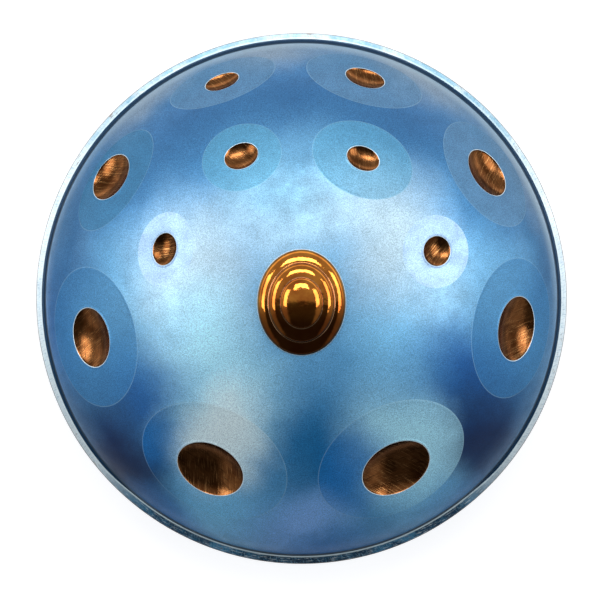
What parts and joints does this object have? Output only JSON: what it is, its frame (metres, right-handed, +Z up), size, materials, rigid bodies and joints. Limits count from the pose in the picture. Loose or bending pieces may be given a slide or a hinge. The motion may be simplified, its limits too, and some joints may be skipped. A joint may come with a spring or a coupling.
{
  "type": "handpan",
  "caption": "Convex steel handpan: two domed sheet shells joined at a flanged rim, oval tone fields with dimples round a stepped centre note, and a round port underneath.",
  "frame": {"origin": "centre of the flat ring round the port, on the floor that the pan stands on", "axes": "+Z up through the centre note, -Y towards the player, whose largest tone fields lie there, +X to the player's right"},
  "size_m": [0.56, 0.56, 0.2378],
  "materials": {
    "blue_lacquer": "satin",
    "pale_lacquer": "satin",
    "bronzed_steel": "satin",
    "polished_gold": "polished",
    "adhesive": "satin"
  },
  "bodies": {
    "root": {"top_shell": "blue_lacquer", "bottom_shell": "pale_lacquer", "rim_adhesive": "adhesive", "ding": "polished_gold", "tone_field_1": "blue_lacquer", "tone_field_2": "blue_lacquer", "tone_field_3": "blue_lacquer", "tone_field_4": "blue_lacquer", "tone_field_5": "blue_lacquer", "tone_field_6": "blue_lacquer", "tone_field_7": "blue_lacquer", "tone_field_8": "blue_lacquer", "tone_field_9": "blue_lacquer", "tone_field_10": "blue_lacquer", "tone_field_11": "blue_lacquer", "tone_field_12": "blue_lacquer", "dimple_1": "bronzed_steel", "dimple_2": "bronzed_steel", "dimple_3": "bronzed_steel", "dimple_4": "bronzed_steel", "dimple_5": "bronzed_steel", "dimple_6": "bronzed_steel", "dimple_7": "bronzed_steel", "dimple_8": "bronzed_steel", "dimple_9": "bronzed_steel", "dimple_10": "bronzed_steel", "dimple_11": "bronzed_steel", "dimple_12": "bronzed_steel"}
  },
  "joints": []
}
